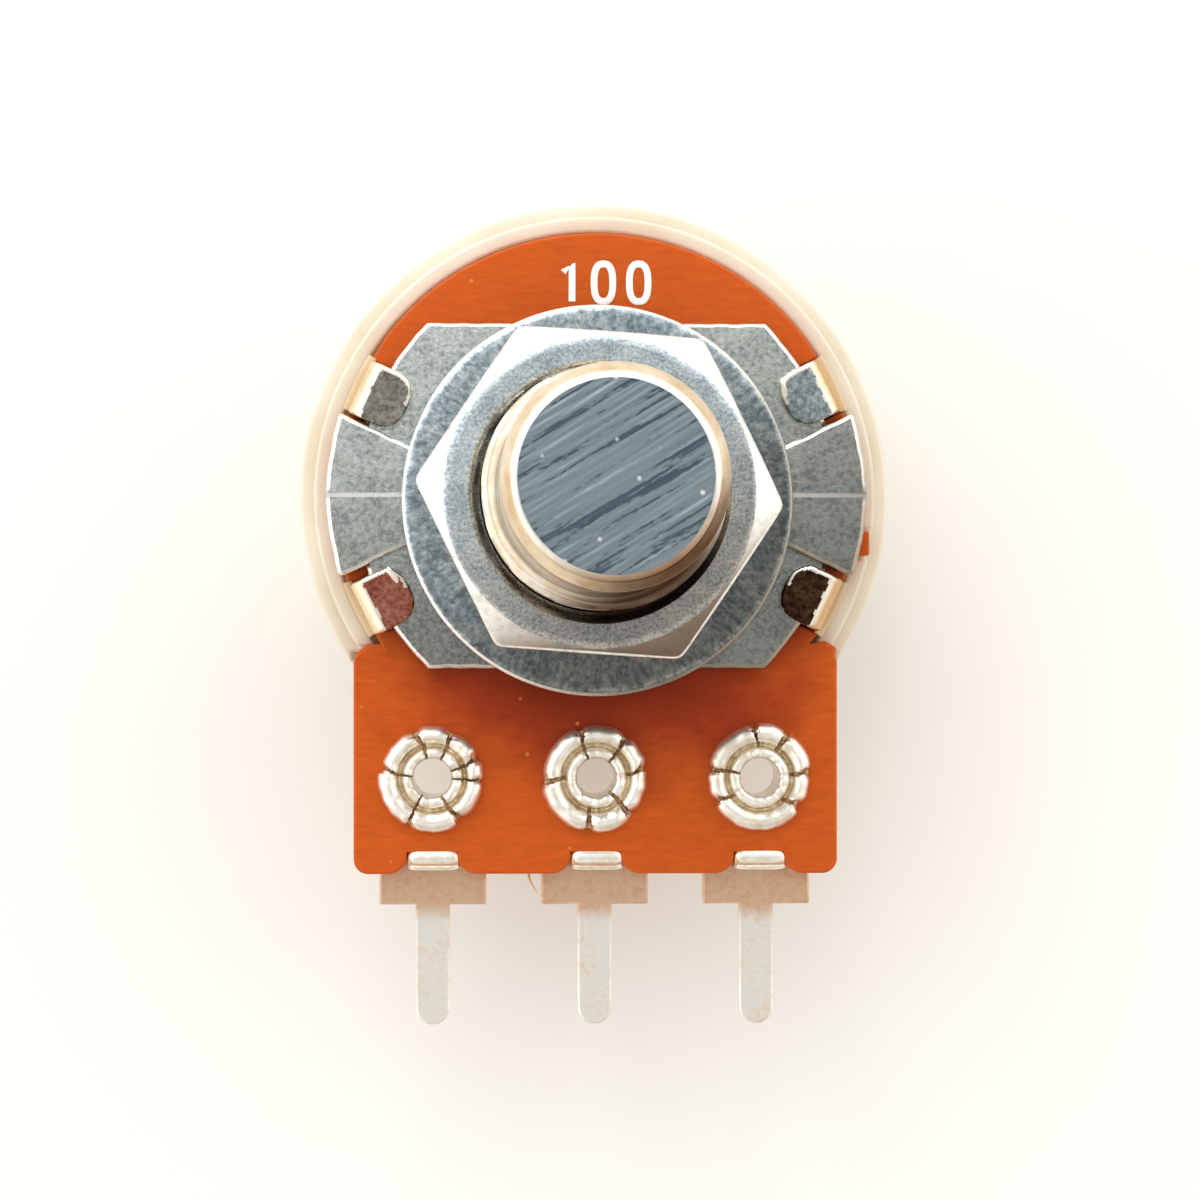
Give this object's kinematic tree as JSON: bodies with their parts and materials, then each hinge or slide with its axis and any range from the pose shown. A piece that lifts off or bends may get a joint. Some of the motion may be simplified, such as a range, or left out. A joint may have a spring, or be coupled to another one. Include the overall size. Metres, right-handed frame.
{
  "type": "rotary potentiometer",
  "caption": "Single-turn carbon rotary potentiometer: plain round shaft in a threaded bushing, nut and washer, claw-held body, phenolic board and flat solder pins.",
  "frame": {"origin": "centre of the flat rear face, on the shaft's axis", "axes": "+Z along the shaft to the knob end, -Y the way the solder pins point, X across the row of pins"},
  "size_m": [0.0182, 0.0254, 0.0233],
  "materials": {
    "tinned_steel": "bright tinned",
    "nylon": "translucent natural",
    "phenolic": "punched laminate",
    "carbon_film": "screen-printed carbon",
    "silver_film": "screen-printed silver",
    "tinned_brass": "matte tinned",
    "bright_tin": "bright tinned",
    "zinc_plate": "zinc plated",
    "turned_bushing": "turned and plated",
    "turned_shaft": "drawn, saw-cut end",
    "spring_steel": "oiled",
    "phosphor_bronze": "rolled spring"
  },
  "bodies": {
    "body": {"rear_cover": "tinned_steel", "housing": "nylon", "resistor_board": "phenolic", "carbon_track": "carbon_film", "collector_track": "silver_film", "electrode_left": "silver_film", "electrode_right": "silver_film", "terminal_left": "tinned_brass", "terminal_wiper": "tinned_brass", "terminal_right": "tinned_brass", "eyelet_left": "bright_tin", "eyelet_wiper": "bright_tin", "eyelet_right": "bright_tin", "front_plate": "zinc_plate", "bushing": "turned_bushing"},
    "shaft_assembly": {"shaft": "turned_shaft", "retaining_ring": "spring_steel", "rotor": "nylon", "wiper_spring": "phosphor_bronze"},
    "washer": {"mounting_washer": "zinc_plate"},
    "nut": {"mounting_nut": "zinc_plate"}
  },
  "joints": [
    {"name": "shaft_turn", "type": "hinge", "parent": "body", "child": "shaft_assembly", "pos_m": [0, 0, 0.008], "axis": [0, 0, 1], "range_deg": [-150, 150]},
    {"name": "washer_lift", "type": "slide", "parent": "body", "child": "washer", "axis": [0, 0, 1], "range_m": [0, 0.003]},
    {"name": "nut_turn", "type": "hinge", "parent": "washer", "child": "nut", "pos_m": [0, 0, 0.01], "axis": [0, 0, 1], "range_deg": [0, 1441]}
  ],
  "couplings": [
    {"joint": "nut_turn", "follows": "washer_lift", "rad_per_m": 8377.6}
  ]
}
